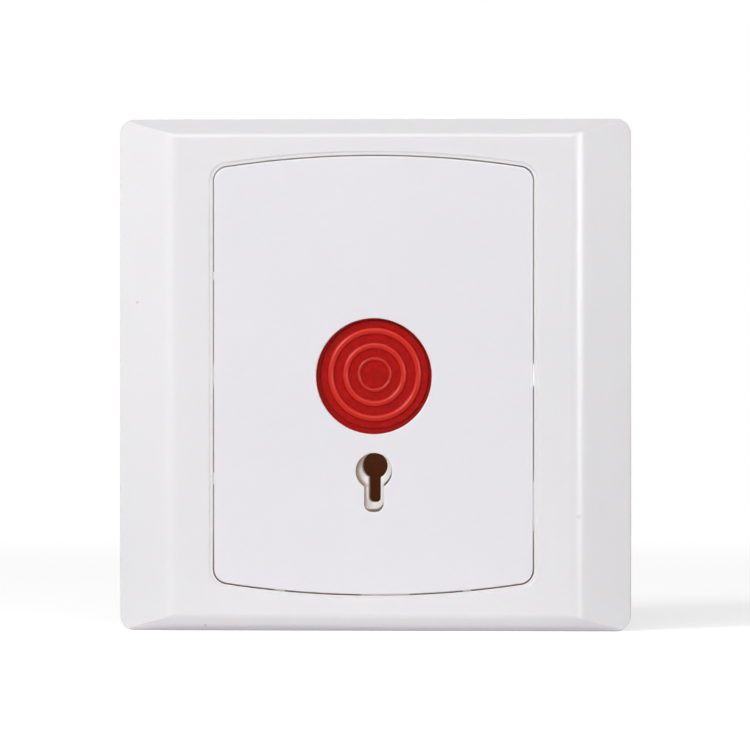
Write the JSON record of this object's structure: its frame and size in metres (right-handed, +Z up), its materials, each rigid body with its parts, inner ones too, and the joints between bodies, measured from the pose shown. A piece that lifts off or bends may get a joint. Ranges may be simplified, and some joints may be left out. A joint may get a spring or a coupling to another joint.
{
  "type": "panic button",
  "caption": "Square wall plate with a recessed red push button that latches when pressed and a keyhole to reset it.",
  "frame": {"origin": "middle of the plane on which the frame's rim lies against the wall", "axes": "+X to the right as seen from the front, +Y into the wall, +Z up; the front faces -Y"},
  "size_m": [0.086, 0.0298, 0.086],
  "materials": {
    "frame_abs": "moulded, satin gloss",
    "panel_abs": "moulded, satin gloss",
    "plate_abs": "moulded, matt",
    "housing_abs": "moulded, matt",
    "button_abs": "moulded, fine grain",
    "slide_acetal": "moulded, waxy",
    "spring_steel": "drawn wire",
    "pin_steel": "turned",
    "switch_steel": "stamped, rolled",
    "switch_phenolic": "moulded, matt",
    "switch_button_plastic": "moulded",
    "tinned_brass": "stamped, tinned",
    "clamp_brass": "folded, nickel worn",
    "solder": "flowed, bright",
    "phenolic_board": "paper phenolic laminate",
    "terminal_nylon": "moulded nylon",
    "zinc_steel": "zinc plated"
  },
  "bodies": {
    "base": {"outer_frame": "frame_abs", "centre_panel": "panel_abs", "mounting_plate": "plate_abs", "mechanism_housing": "housing_abs", "mechanism_cover": "housing_abs", "rear_cover": "housing_abs", "return_spring": "spring_steel", "catch_spring": "spring_steel", "reset_lever_pin": "pin_steel", "micro_switch_lever_pin": "pin_steel", "micro_switch_case": "switch_phenolic", "micro_switch_leads": "tinned_brass", "terminal_pins": "tinned_brass", "terminal_clamps": "clamp_brass", "solder_joints": "solder", "circuit_board": "phenolic_board", "terminal_block": "terminal_nylon", "terminal_screws": "zinc_steel", "catch_spring_screw": "zinc_steel", "board_screws": "zinc_steel", "mechanism_cover_screws": "zinc_steel", "housing_screws": "zinc_steel", "rear_cover_screws": "zinc_steel"},
    "button": {"button_cap": "button_abs", "button_plunger": "slide_acetal", "cap_screw": "zinc_steel"},
    "key_lever": {"reset_lever": "slide_acetal"},
    "switch_arm": {"micro_switch_lever": "switch_steel"},
    "switch_pin": {"micro_switch_plunger": "switch_button_plastic"}
  },
  "joints": [
    {"name": "button_press", "type": "slide", "parent": "base", "child": "button", "axis": [0, 1, 0], "range_m": [0, 0.0035], "stiffness_N_per_m": 1000, "springref_m": -0.002, "deforming": ["return_spring", "catch_spring"]},
    {"name": "reset_lever_turn", "type": "hinge", "parent": "base", "child": "key_lever", "pos_m": [0.01315, 0.0017, -0.01025], "axis": [0, 1, 0], "range_deg": [0, 10], "stiffness_Nm_per_rad": 0.04, "springref_deg": -2.86},
    {"name": "switch_arm_turn", "type": "hinge", "parent": "base", "child": "switch_arm", "pos_m": [-0.0146, 0.00295, 0.017], "axis": [0, 0, 1], "range_deg": [0, 10.2]},
    {"name": "switch_pin_slide", "type": "slide", "parent": "base", "child": "switch_pin", "axis": [0, 1, 0], "range_m": [0, 0.0006]}
  ],
  "couplings": [
    {"joint": "switch_arm_turn", "follows": "button_press", "rad_per_m": 49.971},
    {"joint": "switch_pin_slide", "follows": "button_press", "ratio": 0.1641}
  ]
}
